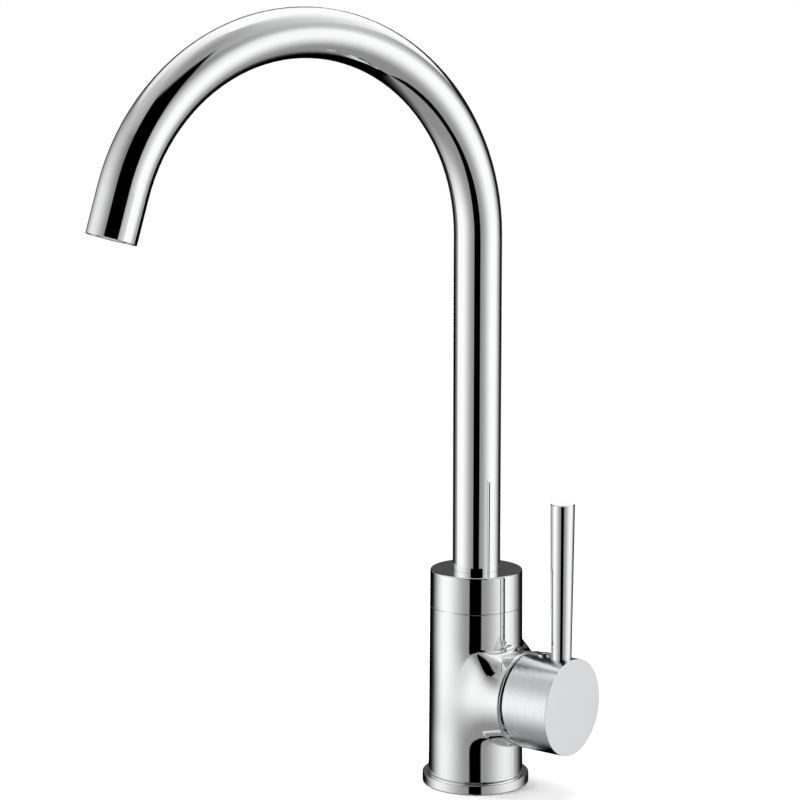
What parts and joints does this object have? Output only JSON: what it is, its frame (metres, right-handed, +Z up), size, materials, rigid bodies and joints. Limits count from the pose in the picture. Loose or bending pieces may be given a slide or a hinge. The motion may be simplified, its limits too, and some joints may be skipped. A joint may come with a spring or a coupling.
{
  "type": "kitchen mixer tap",
  "caption": "Single-lever kitchen mixer tap with a side handle on a blended branch, a ceramic disc cartridge and a tall gooseneck spout that swivels.",
  "frame": {"origin": "on the body's axis, in the plane where the base ring stands on the deck", "axes": "+Z up along the body and the spout's riser, +X out along the branch towards the handle, +Y across the branch"},
  "size_m": [0.1444, 0.2385, 0.4082],
  "materials": {
    "polished_chrome": "polished",
    "satin_chrome": "finely brushed",
    "brass": "machined",
    "steel": "machined",
    "black_rubber": "matte",
    "white_plastic": "moulded",
    "grey_plastic": "moulded",
    "ceramic": "lapped"
  },
  "bodies": {
    "root": {"tap_body": "polished_chrome", "base_ring": "polished_chrome", "base_seal": "black_rubber", "collar_nut": "polished_chrome", "lower_slip_washer": "white_plastic", "upper_slip_washer": "white_plastic", "cartridge_case": "grey_plastic", "cartridge_base": "grey_plastic", "port_seals": "black_rubber", "fixed_ceramic_disc": "ceramic", "cartridge_nut": "brass", "dome_cover": "polished_chrome"},
    "spout": {"spout_tube": "polished_chrome", "spout_stem": "brass", "stem_o_rings": "black_rubber", "aerator_housing": "brass", "aerator_insert": "white_plastic", "aerator_washer": "black_rubber"},
    "rotor": {"cartridge_rotor": "grey_plastic", "pivot_pin": "steel"},
    "handle": {"spindle": "steel", "handle_hub": "satin_chrome", "lever_rod": "polished_chrome", "lever_stud": "steel", "grub_screw": "steel", "screw_plug": "polished_chrome"},
    "disc": {"moving_ceramic_disc": "ceramic", "disc_carrier": "grey_plastic"}
  },
  "joints": [
    {"name": "spout_swivel", "type": "hinge", "parent": "root", "child": "spout", "pos_m": [0, 0, 0.1], "axis": [0, 0, 1], "continuous": true},
    {"name": "temperature_turn", "type": "hinge", "parent": "root", "child": "rotor", "pos_m": [0, 0, 0.0501], "axis": [1, 0, 0], "range_deg": [-45, 45]},
    {"name": "flow_tilt", "type": "hinge", "parent": "rotor", "child": "handle", "pos_m": [0.0331, 0, 0.0501], "axis": [0, 1, 0], "range_deg": [0, 10]},
    {"name": "disc_slide", "type": "slide", "parent": "rotor", "child": "disc", "axis": [0, 0, 1], "range_m": [0, 0.0026]}
  ],
  "couplings": [
    {"joint": "disc_slide", "follows": "flow_tilt", "m_per_rad": 0.0146}
  ]
}
